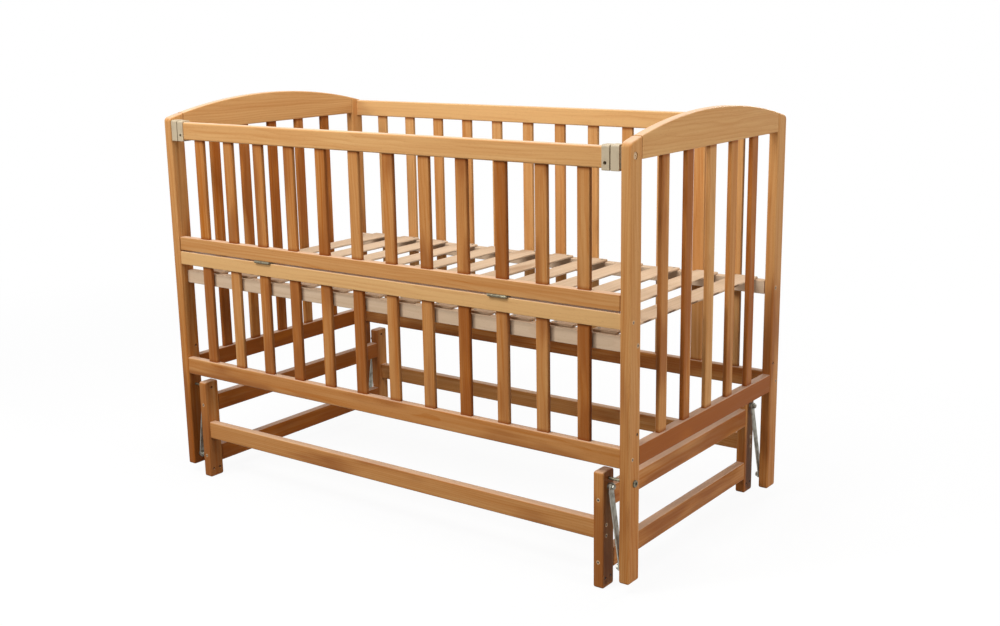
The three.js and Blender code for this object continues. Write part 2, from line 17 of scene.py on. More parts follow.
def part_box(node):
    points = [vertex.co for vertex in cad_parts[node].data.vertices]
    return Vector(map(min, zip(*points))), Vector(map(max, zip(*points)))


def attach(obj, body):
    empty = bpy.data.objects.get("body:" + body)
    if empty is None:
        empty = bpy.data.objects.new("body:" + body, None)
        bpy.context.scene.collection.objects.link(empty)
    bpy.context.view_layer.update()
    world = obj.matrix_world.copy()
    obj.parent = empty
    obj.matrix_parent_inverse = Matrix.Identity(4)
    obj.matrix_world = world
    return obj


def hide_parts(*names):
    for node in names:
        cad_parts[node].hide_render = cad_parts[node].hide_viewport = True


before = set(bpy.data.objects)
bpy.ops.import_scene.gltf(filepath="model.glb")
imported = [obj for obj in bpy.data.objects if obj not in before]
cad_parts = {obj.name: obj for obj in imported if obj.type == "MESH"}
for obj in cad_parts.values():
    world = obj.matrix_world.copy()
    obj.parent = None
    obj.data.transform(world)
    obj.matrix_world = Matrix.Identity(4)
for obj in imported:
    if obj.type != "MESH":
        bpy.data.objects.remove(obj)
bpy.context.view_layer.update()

# %% [markdown]
# ## Writing materials as sums
# A wood material is mostly arithmetic: distances, waves and noises that are added and mixed. So
# a small class wraps an output socket and gives it Python's operators; a second one holds a
# material and adds any other node from its type, its settings and what goes into its sockets.


# %% A socket with operators
class Value:
    """One output socket. Sums and products of it add Math nodes."""

    def __init__(self, shader, socket):
        self.shader = shader
        self.socket = socket

    def math(self, operation, *others):
        inputs = dict(enumerate((self, *others)))
        return self.shader.node("Math", {"operation": operation}, inputs)

    def __add__(self, other):
        return self.math("ADD", other)

    def __sub__(self, other):
        return self.math("SUBTRACT", other)

    def __rsub__(self, other):
        return self.shader.node("Math", {"operation": "SUBTRACT"}, {0: other, 1: self})

    def __mul__(self, other):
        return self.math("MULTIPLY", other)

    __radd__ = __add__
    __rmul__ = __mul__

    def size(self):
        return self.math("ABSOLUTE")

    def larger(self, other):
        return self.math("MAXIMUM", other)

    def rise(self, start, end):
        """0 before start, 1 after end, and a smooth step between them."""
        inputs = {"Value": self, "From Min": start, "From Max": end}
        return self.shader.node("MapRange", {"interpolation_type": "SMOOTHSTEP"}, inputs)

    def parts(self):
        split = self.shader.node("SeparateXYZ", inputs={0: self}).socket.node
        return [Value(self.shader, output) for output in split.outputs]


# %% A material that is being written
class Shader:
    """The nodes of a new material, or of a world, and one way to add any node."""

    def __init__(self, name, world=None):
        self.material = world or bpy.data.materials.new(name)
        self.material.use_nodes = True
        self.tree = self.material.node_tree
        self.surface = self.tree.nodes["Background" if world else "Principled BSDF"]

    def feed(self, socket, value):
        if isinstance(value, Value):
            self.tree.links.new(value.socket, socket)
        else:
            socket.default_value = value

    def node(self, kind, settings=None, inputs=None, output=0):
        made = self.tree.nodes.new("ShaderNode" + kind)
        for key, value in (settings or {}).items():
            setattr(made, key, value)
        for key, value in (inputs or {}).items():
            self.feed(made.inputs[key], value)
        return Value(self, made.outputs[output])

    def attribute(self, name):
        return self.node("Attribute", {"attribute_name": name}, output="Vector")

    def noise(self, place, scale, detail, shift=0.0):
        """A noise of one scale, or of a scale for each axis."""
        if isinstance(scale, tuple):
            place = self.node("VectorMath", {"operation": "MULTIPLY"}, {0: place, 1: scale})
            scale = 1.0
        settings = {"noise_dimensions": "4D"}
        inputs = {"Vector": place, "W": shift, "Scale": scale, "Detail": detail}
        return self.node("TexNoise", settings, inputs)

    def blend(self, share, first, second, way="MIX"):
        settings = {"data_type": "RGBA", "blend_type": way}
        return self.node("Mix", settings, {0: share, 6: first, 7: second}, output=2)

    def bump(self, height, distance, strength):
        inputs = {"Height": height, "Distance": distance, "Strength": strength}
        return self.node("Bump", inputs=inputs)

    def finish(self, **sockets):
        for name, value in sockets.items():
            self.feed(self.surface.inputs[name.replace("_", " ")], value)
        print("material", self.material.name, "nodes", len(self.tree.nodes))
        return self.material


# %% [markdown]
# ## Beech, lacquered and raw
# Every board is sawn from its own place in a trunk. The rings are cylinders round the heart of
# the tree, so a board's face shows straight lines where it was cut across them and arches where
# it was cut flat. So the pattern here is the distance to a heart line beside each board, which
# leans a little, cut into rings. Lengthwise noise adds the streaks, and fine short dashes are
# the flecks that tell beech from other woods.
# Each board carries three vectors on its vertices: `grain`, its own coordinates along, across
# and through it; `extent`, half its size; and `trait`, its random number, its tone there and half
# the length that shows between the pieces it joins. With them one material serves all boards,
# and the sanded edges and the shade at the joints are plain distances.


# %% The wood material
RING_WIDTH = 0.0042
HEART_SPREAD, HEART_DEPTH, HEART_LEAN = 0.09, 0.012, 0.05
RING_WANDER = 0.012
NOISE_STEP = 37.0
EDGE_WEAR = 0.0035
JOINT_SHADE = 0.009
DEEP_SHARE, STREAK_SHARE, RING_SHARE, TONE_SHARE, EDGE_SHARE = 0.38, 0.80, 0.16, 0.36, 0.12
# The pale colour of the painted sheen on faces that look up
SHEEN_PALE = (0.76, 0.58, 0.43, 1)
LACQUER_ROUGH, RAW_ROUGH = 0.34, 0.66
LACQUER_RELIEF, RAW_RELIEF = 0.00018, 0.0004


def wood(name, pale, deep, heart, lacquered, top_sheen=0.0):
    shader = Shader(name)
    grain = shader.attribute("grain")
    along, across, through = grain.parts()
    half_width, half_depth = shader.attribute("extent").parts()[1:]
    chance, tone, half_shown = shader.attribute("trait").parts()
    shift = chance * NOISE_STEP
    draw = shader.node("TexWhiteNoise", {"noise_dimensions": "1D"}, {"W": chance}, output="Color")
    lot_a, lot_b, lot_c = draw.parts()

    # Rings round a heart line beside the board
    wander = shader.noise(grain, (5.0, 26.0, 26.0), 2.0, shift) - 0.5
    side = across + (lot_a - 0.5) * HEART_SPREAD + along * (lot_b - 0.5) * HEART_LEAN
    depth = through + HEART_DEPTH + lot_c * HEART_SPREAD + along * (lot_a - 0.5) * HEART_LEAN
    reach = (side * side + depth * depth).math("SQRT") + wander * RING_WANDER
    ring = (reach * (1 / RING_WIDTH)).math("FRACT")
    ring_line = ring.rise(0.35, 0.92) * (1 - ring.rise(0.94, 1.0))

    # Streaks and flecks along the grain, and slow changes of colour
    streak = shader.noise(grain, (3.0, 150.0, 150.0), 3.0, shift)
    fleck = shader.noise(grain, (160.0, 1500.0, 1500.0), 1.0, shift)
    fleck_mark = fleck.rise(0.62, 0.72)
    cloud = shader.noise(grain, (4.0, 22.0, 22.0), 2.0, shift)
    dark_heart = (cloud + tone * 0.22).rise(0.60, 0.78)

    # Sanded edges, and the shade where a board meets another
    rim = (half_width - across.size()).larger(half_depth - through.size())
    edge = 1 - (rim + cloud * 0.002).rise(0.0, EDGE_WEAR)
    joint = 1 - (half_shown - along.size()).rise(0.0, JOINT_SHADE)

    depth_share = DEEP_SHARE + (streak - 0.5) * STREAK_SHARE + ring_line * RING_SHARE
    depth_share = depth_share + tone * TONE_SHARE - edge * EDGE_SHARE
    colour = shader.blend(depth_share, pale, deep)
    colour = shader.blend(dark_heart * 0.6, colour, heart)
    colour = shader.blend(fleck_mark * 0.22, colour, heart, "MULTIPLY")
    colour = shader.blend(joint * 0.85, colour, heart)

    # Faces and rounds that look up are painted paler: a painted sheen for the light that their lacquer
    # reflects from above
    top_sheen_mask = shader.node("TexCoord", output="Normal").parts()[2].rise(0.40, 0.95)
    colour = shader.blend(top_sheen_mask * top_sheen, colour, SHEEN_PALE)

    height = streak * 0.4 + fleck * 0.4 + ring_line * 0.25
    rough = LACQUER_ROUGH if lacquered else RAW_ROUGH
    return shader.finish(
        Base_Color=colour,
        Roughness=rough + (streak - 0.5) * 0.16 + fleck_mark * 0.10 + edge * 0.06,
        Normal=shader.bump(height, LACQUER_RELIEF if lacquered else RAW_RELIEF, 0.5),
        Specular_IOR_Level=0.045,
    )


lacquered_beech = wood(
    "lacquered_beech",
    pale=(0.680, 0.400, 0.165, 1),
    deep=(0.415, 0.125, 0.014, 1),
    heart=(0.240, 0.062, 0.012, 1),
    lacquered=True,
    # How strongly faces that look up are painted with the pale sheen
    top_sheen=0.48,
)
raw_beech = wood(
    "raw_beech",
    pale=(0.690, 0.520, 0.365, 1),
    deep=(0.480, 0.325, 0.195, 1),
    heart=(0.330, 0.185, 0.095, 1),
    lacquered=False,
)

# %% [markdown]
# ## Steel, plastic and painted shade for sockets and holes
# The links and bolts are zinc-plated: a dull grey metal with cloudy patches, fine scratches and
# darker spots where it has been handled. The frame's screws are warmer, as if bronzed, and the
# lock bolts, the hinge leaves, the latch pins and the base's small screws are darker. The latches
# are a warm grey moulded plastic with a very fine texture and a little grime. None of these has
# a direction of its own, so object coordinates are enough.


# %% Metal and plastic
def object_place(shader):
    return shader.node("TexCoord", output="Object")


def plated(name, bright, dull):
    shader = Shader(name)
    place = object_place(shader)
    cloud = shader.noise(place, 90.0, 4.0)
    speck = shader.noise(place, 900.0, 2.0)
    scratch = shader.noise(place, (900.0, 900.0, 60.0), 2.0)
    tarnish = cloud.rise(0.42, 0.66)
    colour = shader.blend(tarnish * 0.8 + speck * 0.15, bright, dull)
    return shader.finish(
        Base_Color=colour,
        Metallic=0.95 - tarnish * 0.15,
        Roughness=0.30 + cloud * 0.22 + scratch * 0.10,
        Normal=shader.bump(scratch + speck * 0.5, 0.00006, 0.5),
    )


def plastic(name, clean, grimy):
    shader = Shader(name)
    place = object_place(shader)
    cloud = shader.noise(place, 60.0, 3.0)
    texture = shader.noise(place, 1600.0, 2.0)
    grime = cloud.rise(0.45, 0.75)
    colour = shader.blend(grime * 0.5 + texture * 0.12, clean, grimy)
    return shader.finish(
        Base_Color=colour,
        Roughness=0.42 + texture * 0.12 + grime * 0.08,
        Normal=shader.bump(texture, 0.00008, 0.6),
        Specular_IOR_Level=0.5,
    )


zinc = plated("zinc_plated_steel", (0.40, 0.39, 0.33, 1), (0.21, 0.20, 0.16, 1))
bronzed = plated("bronzed_steel", (0.52, 0.34, 0.19, 1), (0.34, 0.21, 0.11, 1))
lock_steel = plated("lock_steel", (0.21, 0.19, 0.13, 1), (0.10, 0.085, 0.055, 1))
dark_steel = plated("dark_steel", (0.16, 0.15, 0.13, 1), (0.07, 0.065, 0.055, 1))
# A near-black colour for the plates and plugs that are painted shade in sockets and holes
socket_shade = plastic("socket_shade", (0.030, 0.022, 0.015, 1), (0.015, 0.011, 0.008, 1))
latch_plastic = plastic("latch_plastic", (0.49, 0.395, 0.26, 1), (0.34, 0.27, 0.17, 1))
cap_plastic = plastic("cap_plastic", (0.60, 0.40, 0.22, 1), (0.42, 0.27, 0.14, 1))

# %% [markdown]
# ## A board
# A planed board starts as a cube that is scaled to its size, because that is the quickest closed
# solid. A bevel on every sharp edge then gives the small round that a router leaves; three
# segments are enough, since smooth shading with weighted normals keeps the broad faces flat. The
# bevel comes after any shaping, so that it follows arches and slants as well.

# %% Board helpers
SHARP = math.radians(30)
ROUTED_EDGE = 0.003
TOUCHING = 1e-5
AXES = {"x": 0, "y": 1, "z": 2}
lots = random.Random(41)


def divide(solid, place, normal, **settings):
    parts = solid.verts[:] + solid.edges[:] + solid.faces[:]
    bmesh.ops.bisect_plane(solid, geom=parts, plane_co=place, plane_no=normal, **settings)


def sharp_edges(solid):
    return [edge for edge in solid.edges if edge.calc_face_angle(0.0) > SHARP]


def soften(solid, edges, radius, segments=3):
    bmesh.ops.bevel(
        solid,
        geom=edges,
        offset=radius,
        offset_type="OFFSET",
        segments=segments,
        profile=0.5,
        affect="EDGES",
        material=-1,
        clamp_overlap=True,
    )


def block(low, high):
    solid = bmesh.new()
    low, high = Vector(low), Vector(high)
    fit = Matrix.Translation((low + high) / 2) @ Matrix.Diagonal((*(high - low), 1))
    bmesh.ops.create_cube(solid, size=1, matrix=fit)
    return solid


def describe(solid, low, high, run, tone, shown):
    """Writes a board's grain, extent and trait on its vertices.

    The tone is one number, or two for its low and its high end. Without a shown length there is
    no shade at the ends.
    """
    low, high = Vector(low), Vector(high)
    middle, half = (low + high) / 2, (high - low) / 2
    first = AXES[run]
    second, third = sorted({0, 1, 2} - {first}, key=lambda axis: -half[axis])
    order = (first, second, third)
    extent = Vector([half[axis] for axis in order])
    chance = lots.random()
    reach = half[first] + 2 * JOINT_SHADE if shown is None else shown / 2
    start_tone, end_tone = tone if isinstance(tone, tuple) else (tone, tone)
    layers = [solid.verts.layers.float_vector.new(name) for name in ("grain", "extent", "trait")]
    for vert in solid.verts:
        local = vert.co - middle
        vert[layers[0]] = [local[axis] for axis in order]
        vert[layers[1]] = extent
        share = local[first] / extent[0] / 2 + 0.5
        vert[layers[2]] = (chance, start_tone + (end_tone - start_tone) * share, reach)


def at_end(edge, axis, ends):
    """Whether an edge lies wholly at one of the given places along an axis."""
    places = [vert.co[AXES[axis]] for vert in edge.verts]
    return any(all(abs(place - end) < TOUCHING for place in places) for end in ends)


def span(edge, axis):
    """How far an edge reaches along an axis."""
    first, second = (vert.co[AXES[axis]] for vert in edge.verts)
    return abs(first - second)


def face_x(node, side):
    """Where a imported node's left face (-1) or right face (1) lies along X."""
    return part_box(node)[side > 0].x


def board(low, high, run, edge=ROUTED_EDGE, *, tone, shown=None, shape=None, cuts=(), butted=False):
    """A board from low to high that runs along an axis; a butted one keeps its ends square."""
    solid = block(low, high)
    if shape:
        shape(solid)
    ends = (low[AXES[run]], high[AXES[run]])
    rims = [rim for rim in sharp_edges(solid) if not (butted and at_end(rim, run, ends))]
    soften(solid, rims, edge)
    if cuts:
        solid = cut_away(solid, cuts)
    describe(solid, low, high, run, tone, shown)
    return solid


# %% [markdown]
# ## Holes
# A drilled hole needs its rim cut cleanly out of a rounded board. The Boolean modifier does that
# with a rod that stands out of the wood by an overrun as the cutter; the result is read back
# into the board's mesh and all helper objects are deleted.

# %% Cutting with the Boolean modifier
OVERRUN = 0.005


def placed(name, data):
    made = bpy.data.objects.new(name, data)
    bpy.context.scene.collection.objects.link(made)
    return made


def as_object(solid, name="helper"):
    bmesh.ops.recalc_face_normals(solid, faces=solid.faces)
    data = bpy.data.meshes.new(name)
    solid.to_mesh(data)
    solid.free()
    return placed(name, data)


def cut_away(solid, cutters):
    body = as_object(solid)
    helpers = [as_object(cutter) for cutter in cutters]
    for helper in helpers:
        step = body.modifiers.new("cut", "BOOLEAN")
        step.operation = "DIFFERENCE"
        step.solver = "EXACT"
        step.object = helper
    seen = body.evaluated_get(bpy.context.evaluated_depsgraph_get())
    result = bmesh.new()
    result.from_mesh(seen.to_mesh())
    seen.to_mesh_clear()
    for helper in (body, *helpers):
        bpy.data.objects.remove(helper)
    return result


def rod(axis, radius, start, end, centre, sides=32):
    """A closed rod along an axis, between two places there; centre gives its other two places."""
    solid = bmesh.new()
    turn = {"x": Matrix.Rotation(math.pi / 2, 4, "Y"), "y": Matrix.Rotation(-math.pi / 2, 4, "X")}
    place = list(centre)
    place.insert(AXES[axis], (start + end) / 2)
    fit = Matrix.Translation(place) @ turn.get(axis, Matrix.Identity(4))
    bmesh.ops.create_cone(
        solid,
        cap_ends=True,
        segments=sides,
        radius1=radius,
        radius2=radius,
        depth=abs(end - start),
        matrix=fit,
    )
    return solid


# %% [markdown]
# ## From solids to a piece
# Boards that are glued together on the real crib become one object, in the place of the node
# that they stand for. Its boards stay separate closed shells: a slat's tenon really does run on
# into the rail. Edges over 50 degrees stay sharp, the rest is shaded smooth, and the Weighted
# Normal modifier gives each vertex the direction of its largest faces.

# %% Finishing a piece
KEEP_SHARP = math.radians(50)


def joined(solids):
    whole = bmesh.new()
    carrier = bpy.data.meshes.new("carrier")
    for solid in solids:
        bmesh.ops.recalc_face_normals(solid, faces=solid.faces)
        solid.to_mesh(carrier)
        whole.from_mesh(carrier)
        solid.free()
    bpy.data.meshes.remove(carrier)
    return whole


def piece(name, solids, material, body, nodes=()):
    whole = joined(solids)
    data = bpy.data.meshes.new(name)
    whole.to_mesh(data)
    whole.free()
    data.shade_smooth()
    data.set_sharp_from_angle(angle=KEEP_SHARP)
    data.materials.append(material)
    made = placed(name, data)
    weigh = made.modifiers.new("weighted_normals", "WEIGHTED_NORMAL")
    weigh.keep_sharp = True
    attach(made, body)
    if nodes:
        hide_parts(*nodes)
    print("piece", name, "faces", len(data.polygons))
    return made


def wooden(name, solids, body, nodes):
    return piece(name, solids, lacquered_beech, body, nodes)


# %% [markdown]
# ## Ends
# Each end is two posts with an arched rail, a low rail and five slats between them. The arch is
# one arc over the whole width. A post's top is a short piece of that arc, nearly straight, so a
# slanting cut makes it, and a wide bevel then makes the round outer corner. The arched rail is a
# block whose long edges are divided in steps, and its upper points are lifted onto the arc.

# %% Sizes of the ends
MIDDLE_Y = (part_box("left_front_post")[0].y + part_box("left_back_post")[1].y) / 2
HALF_WIDTH = 0.327
CROWN = 0.900
ARCH_RISE = 0.040
ARCH_RADIUS = (HALF_WIDTH**2 + ARCH_RISE**2) / (2 * ARCH_RISE)
CORNER_ROUND = 0.009
POST_ROUND = 0.004
FOOT_ROUND = 0.005
POST_DEPTH = 0.040
ARCH_UNDERSIDE = 0.827
LOW_RAIL = (0.251, 0.291)
END_PITCH = 0.0945
SLAT_WIDTH, SLAT_THICKNESS, SLAT_EDGE = 0.028, 0.010, 0.0025
TENON = 0.008
BASE_BOLT_Y = 0.298
SCREW_Y = 0.3147
HOLE_RADIUS, SPARE_HOLE_Z = 0.003, 0.316
RECESS_DEPTH, RECESS_RADIUS = 0.0035, 0.0072
RECESS_Y, RECESS_Z = 0.312, 0.836
ENDS = {"left": -1, "right": 1}
ROWS = {"front": -1, "back": 1}

# Tones of the boards: 0 is the usual colour, and a higher number is darker and redder
# A post is painted darker and redder from its top towards its foot, and the left posts more than the
# right: painted shade.
POST_FOOT_SHADE, LEFT_POST_SHADE_STEP = 1.13, 0.29
ARCH_TONE, LOW_RAIL_TONE = -0.3, 1.7
END_SLAT_TONES = {"left": (1.2, 0.9, 1.3, 0.9, 1.1), "right": (0.6, 1.0, 0.0, 0.7, 1.2)}


def arch_height(y):
    across = y - MIDDLE_Y
    return CROWN - ARCH_RADIUS + math.sqrt(ARCH_RADIUS**2 - across**2)


# %% Posts
def round_feet(solid, top_too=False):
    """Rounds an upright board's lower corners, as its wide side shows them, or all four."""
    heights = [min(vert.co.z for vert in solid.verts)]
    if top_too:
        heights.append(max(vert.co.z for vert in solid.verts))
    ends = [edge for edge in solid.edges if at_end(edge, "z", heights) and span(edge, "y") < TOUCHING]
    soften(solid, ends, FOOT_ROUND, 4)


def post_top(row):
    """What shapes a post: its slanting top, the round outer corner there and the feet."""
    outer_y = MIDDLE_Y + row * HALF_WIDTH
    inner_y = outer_y - row * POST_DEPTH
    outer = Vector((0, outer_y, arch_height(outer_y)))
    inner = Vector((0, inner_y, arch_height(inner_y)))
    normal = (outer - inner).cross(Vector((1, 0, 0)))
    normal *= 1 if normal.z > 0 else -1

    def shape(solid):
        divide(solid, outer, normal, clear_outer=True)
        rim = [edge for edge in solid.edges if edge.is_boundary]
        bmesh.ops.holes_fill(solid, edges=rim)
        outer_edges = [edge for edge in solid.edges if at_end(edge, "y", [outer_y])]
        above = outer.z - 10 * TOUCHING
        corner = [edge for edge in outer_edges if all(vert.co.z > above for vert in edge.verts)]
        soften(solid, corner, CORNER_ROUND, 8)
        round_feet(solid)

    return shape


def post(side, row, outer_x, low, high):
    """A post with its spare bolt hole and, on a front post, the recess of the keeper's bolt."""
    spare_place = (MIDDLE_Y + row * BASE_BOLT_Y, SPARE_HOLE_Z)
    cuts = [rod("x", HOLE_RADIUS, low.x - OVERRUN, high.x + OVERRUN, spare_place)]
    if row < 0:
        ends = (outer_x - side * RECESS_DEPTH, outer_x + side * OVERRUN)
        cuts.append(rod("x", RECESS_RADIUS, *ends, (MIDDLE_Y - RECESS_Y, RECESS_Z)))
    top = Vector((high.x, high.y, CROWN))
    # Painted shade: the tone at the foot, darker on the left, fades to 0 at the top
    tones = (POST_FOOT_SHADE - side * LEFT_POST_SHADE_STEP, 0.0)
    return board(low, top, "z", POST_ROUND, tone=tones, shape=post_top(row), cuts=cuts)


for end, side in ENDS.items():
    for row_name, row in ROWS.items():
        node = f"{end}_{row_name}_post"
        solid = post(side, row, face_x(node, side), *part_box(node))
        wooden(f"{end}_{row_name}_corner", [solid], "crib_bed", [node])


# %% End panels
ARCH_CUTS = 31


def lift_to_arch(solid):
    long_edges = [edge for edge in solid.edges if span(edge, "y") > POST_DEPTH]
    bmesh.ops.subdivide_edges(solid, edges=long_edges, cuts=ARCH_CUTS, use_grid_fill=True)
    for vert in solid.verts:
        if vert.co.z > (ARCH_UNDERSIDE + CROWN) / 2:
            vert.co.z = arch_height(vert.co.y)


def centred(count, pitch, middle=0.0):
    return [middle + pitch * (i - (count - 1) / 2) for i in range(count)]


def slat(x, y, size_x, size_y, foot, head, tone):
    """A slat whose length from foot to head shows, with a tenon beyond at either end."""
    low = (x - size_x / 2, y - size_y / 2, foot - TENON)
    high = (x + size_x / 2, y + size_y / 2, head + TENON)
    return board(low, high, "z", SLAT_EDGE, tone=tone, shown=head - foot)


for end in ENDS:
    low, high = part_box(f"{end}_end_panel")
    centre_x = (low.x + high.x) / 2
    corners = (low.x, low.y, ARCH_UNDERSIDE), (high.x, high.y, CROWN)
    arch = board(*corners, "y", tone=ARCH_TONE, shape=lift_to_arch, butted=True)
    corners = (low.x, low.y, LOW_RAIL[0]), (high.x, high.y, LOW_RAIL[1])
    foot = board(*corners, "y", tone=LOW_RAIL_TONE, butted=True)
    tones = END_SLAT_TONES[end]
    slats = [
        slat(centre_x, y, SLAT_THICKNESS, SLAT_WIDTH, LOW_RAIL[1], ARCH_UNDERSIDE, tone)
        for y, tone in zip(centred(len(tones), END_PITCH, MIDDLE_Y), tones)
    ]
    wooden(f"{end}_end", [arch, foot, *slats], "crib_bed", [f"{end}_end_panel"])

# %% [markdown]
# ## Long sides
# The back is one tall grille, and the front is two: the lower one is fixed and the upper one
# folds down on the hinges. All have twelve slats at the same places. The moving side's top is
# the rail that hands rest on, so its upper edges have a larger round, 4 mm against 3 mm: they
# are bevelled first, and the smaller bevel then takes only what is still sharp.
# Between the two middle rails the photograph shows a dark line and no light. So they stand 1.5 mm
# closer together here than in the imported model, with a smaller round where they meet.

# %% Slatted sides
RAIL_HEIGHT, MIDDLE_RAIL_HEIGHT = 0.040, 0.030
HAND_ROUND = 0.004
HAND_RAIL_REACH, SIDE_INNER = 0.5635, 0.5985
LONG_EDGE = 0.1
MEETING_EDGE = 0.0018
SIDE_SLATS, SIDE_PITCH = 12, 0.094


def round_top(solid):
    top = max(vert.co.z for vert in solid.verts)
    edges = [edge for edge in solid.edges if at_end(edge, "z", [top]) and span(edge, "x") > LONG_EDGE]
    soften(solid, edges, HAND_ROUND, 6)


def slatted_side(node, body, heights, tones, slat_tones, grown=(0.0, 0.0), hand_rail=False):
    """Heights, tones and what a rail has grown by are given for the lower rail, then the upper."""
    low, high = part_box(node)
    foot_top, head_low = low.z + heights[0], high.z - heights[1]
    edges = [MEETING_EDGE if amount else ROUTED_EDGE for amount in grown]
    foot_ends = (-SIDE_INNER, SIDE_INNER) if hand_rail else (low.x, high.x)
    head_ends = (-HAND_RAIL_REACH, HAND_RAIL_REACH) if hand_rail else (low.x, high.x)
    corners = (foot_ends[0], low.y, low.z - grown[0]), (foot_ends[1], high.y, foot_top)
    foot = board(*corners, "x", edges[0], tone=tones[0], butted=not hand_rail)
    corners = (head_ends[0], low.y, head_low), (head_ends[1], high.y, high.z + grown[1])
    shape = round_top if hand_rail else None
    head = board(*corners, "x", edges[1], tone=tones[1], shape=shape, butted=True)
    sizes = ((low.y + high.y) / 2, SLAT_WIDTH, SLAT_THICKNESS, foot_top, head_low)
    slats = [slat(x, *sizes, lots.uniform(*slat_tones)) for x in centred(SIDE_SLATS, SIDE_PITCH)]
    return wooden(node.replace("panel", "grille"), [foot, head, *slats], body, [node])


LOWER_HEIGHTS, UPPER_HEIGHTS = (RAIL_HEIGHT, MIDDLE_RAIL_HEIGHT), (MIDDLE_RAIL_HEIGHT, RAIL_HEIGHT)
BACK_RAIL_TONES, LOWER_RAIL_TONES, UPPER_RAIL_TONES = (0.75, -1.1), (0.7, -1.2), (0.3, -0.3)
FRONT_TONES, BACK_TONES = (0.45, 1.1), (-0.3, 0.4)
LOWER_GROWN, UPPER_GROWN = (0.0, 0.0005), (0.001, 0.0)
slatted_side("back_panel", "crib_bed", (RAIL_HEIGHT, RAIL_HEIGHT), BACK_RAIL_TONES, BACK_TONES)
slatted_side(
    "lower_front_panel", "crib_bed", LOWER_HEIGHTS, LOWER_RAIL_TONES, FRONT_TONES, LOWER_GROWN
)
slatted_side(
    "drop_side_panel", "drop_side", UPPER_HEIGHTS, UPPER_RAIL_TONES, FRONT_TONES, UPPER_GROWN, True
)

# %% [markdown]
# ## Bed base
# The base is raw wood: paler, duller and with more change of colour from slat to slat. The slats
# lie on the two rails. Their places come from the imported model's boxes.

# %% Rails and slats of the base
BASE_EDGE = 0.0018
BEARER_TONE, BASE_SLAT_TONES = -0.4, (-0.5, 0.5)
for row_name in ROWS:
    node = f"base_rail_{row_name}"
    rail = board(*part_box(node), "x", BASE_EDGE, tone=BEARER_TONE)
    piece(f"base_{row_name}_bearer", [rail], raw_beech, "crib_bed", [node])
base_slats = sorted(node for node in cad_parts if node.startswith("base_slat_"))
for node in base_slats:
    plank = board(*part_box(node), "y", BASE_EDGE, tone=lots.uniform(*BASE_SLAT_TONES))
    piece(node.replace("slat", "board"), [plank], raw_beech, "crib_bed", [node])

# %% [markdown]
# ## Stand
# Four uprights, two long rails and four cross rails. An upright's hole near the top takes the
# lock bolt, and the pair at its foot is left over from another use of the same piece. The two
# screws in its outward face are sunk in shallow round recesses.

# %% Rails and uprights of the stand
LOCK_Y, LOCK_Z, LOCK_HOLE_RADIUS = 0.307, 0.222, 0.0034
FOOT_HOLE_Z, FOOT_HOLE_PITCH = 0.020, 0.019
STAND_RECESS, STAND_SCREW_HEIGHTS = 0.0008, (0.1805, 0.0535)
SCREW_HEAD, HEAD_ROOM = 0.0040, 0.0003
LEG_TONE, STRETCHER_TONE, CROSS_TONES = 0.75, 0.5, {"left": 1.4, "right": 0.9}


def upright(row, low, high):
    y = (low.y + high.y) / 2
    ends = (low.x - OVERRUN, high.x + OVERRUN)
    cuts = [rod("x", LOCK_HOLE_RADIUS, *ends, (y, LOCK_Z))]
    for foot_y in centred(2, FOOT_HOLE_PITCH, y):
        cuts.append(rod("x", HOLE_RADIUS, *ends, (foot_y, FOOT_HOLE_Z)))
    face = MIDDLE_Y + row * HALF_WIDTH
    recess = (face - row * STAND_RECESS, face + row * OVERRUN)
    leg_x = (low.x + high.x) / 2
    cuts += [rod("y", SCREW_HEAD + HEAD_ROOM, *recess, (leg_x, z)) for z in STAND_SCREW_HEIGHTS]
    return board(low, high, "z", tone=LEG_TONE, shape=lambda solid: round_feet(solid, True), cuts=cuts)


for row_name, row in ROWS.items():
    node = f"stand_{row_name}_rail"
    stretcher = board(*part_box(node), "x", tone=STRETCHER_TONE, butted=True)
    wooden(f"stand_{row_name}_stretcher", [stretcher], "stand", [node])
    for end in ENDS:
        node = f"stand_{row_name}_{end}_upright"
        wooden(f"stand_{row_name}_{end}_leg", [upright(row, *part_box(node))], "stand", [node])
for end in ENDS:
    for level in ("upper", "lower"):
        node = f"stand_{end}_{level}_cross_rail"
        crosspiece = board(*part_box(node), "y", tone=CROSS_TONES[end], butted=True)
        wooden(f"stand_{end}_{level}_crosspiece", [crosspiece], "stand", [node])

# %% [markdown]
# ## Links and bolts
# Each link is a steel strap: a flat bar with round ends, cranked so that its upper end lies by
# the stand and its lower end by the bed's post. The block's end edges are bevelled by almost
# half the width to make it round, two planes divide it at the bends, and the points between
# them slide sideways. Bolts are turned pieces, so they are spun from half their outline, and
# their hexagon heads are six-sided cones with a bevelled rim.

# %% Straps
UPPER_PIVOT_Z, LOWER_PIVOT_Z = 0.206, 0.046
LINK_WIDTH, LINK_THICKNESS = 0.015, 0.003
STRAP_FLAT = 0.012
STRAP_ROUND_SHARE, STRAP_EDGE = 0.485, 0.0005
PIVOT_Y = 0.307
EYE_RADIUS = 0.0034


